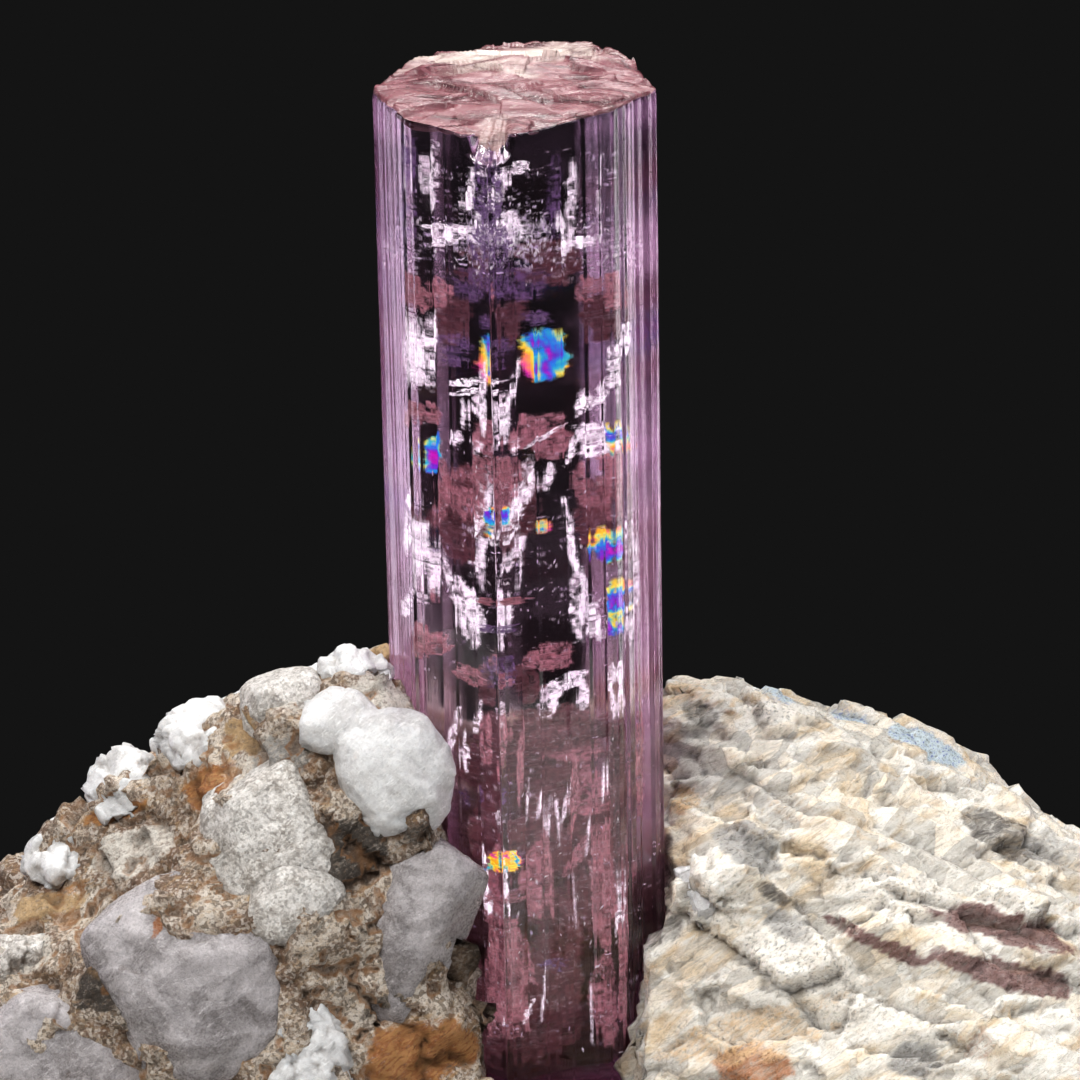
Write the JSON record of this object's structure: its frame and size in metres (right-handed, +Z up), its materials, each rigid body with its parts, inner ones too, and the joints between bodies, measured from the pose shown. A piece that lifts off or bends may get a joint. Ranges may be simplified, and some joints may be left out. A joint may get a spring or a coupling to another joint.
{
  "type": "topaz crystal on matrix",
  "caption": "Tall striated prism of clear pink topaz with a broken flat top, standing in a flat-based matrix of milky quartz and iron-stained rock.",
  "frame": {"origin": "on the flat resting face, under the middle of the bounding box", "axes": "+X to the right along the matrix as the picture shows it, +Y to its back, +Z up along the crystal"},
  "size_m": [0.0844, 0.0476, 0.0601],
  "materials": {
    "topaz": "clear pink topaz with fine vertical striae",
    "milky_quartz": "snow-white quartz with a dull glassy surface",
    "frosted_quartz": "pale frosted quartz",
    "smoky_quartz": "grey translucent quartz",
    "streaked_quartz": "cream quartz with grey and red-brown streaks",
    "host_rock": "granular rock stained by iron"
  },
  "bodies": {
    "root": {"topaz_crystal": "topaz", "white_quartz_lump": "milky_quartz", "white_quartz_knob": "milky_quartz", "grey_quartz_knob": "frosted_quartz", "white_crest_chunk": "milky_quartz", "white_crest_chip": "milky_quartz", "white_shoulder_chip": "milky_quartz", "pale_quartz_slab": "frosted_quartz", "grey_quartz_block": "smoky_quartz", "grey_quartz_wedge": "smoky_quartz", "white_quartz_chip": "milky_quartz", "clear_quartz_corner": "smoky_quartz", "pale_ledge_block": "frosted_quartz", "white_quartz_pebble": "milky_quartz", "back_quartz_lump": "milky_quartz", "back_grey_block": "smoky_quartz", "milky_quartz_mass": "streaked_quartz", "host_rock": "host_rock"}
  },
  "joints": []
}
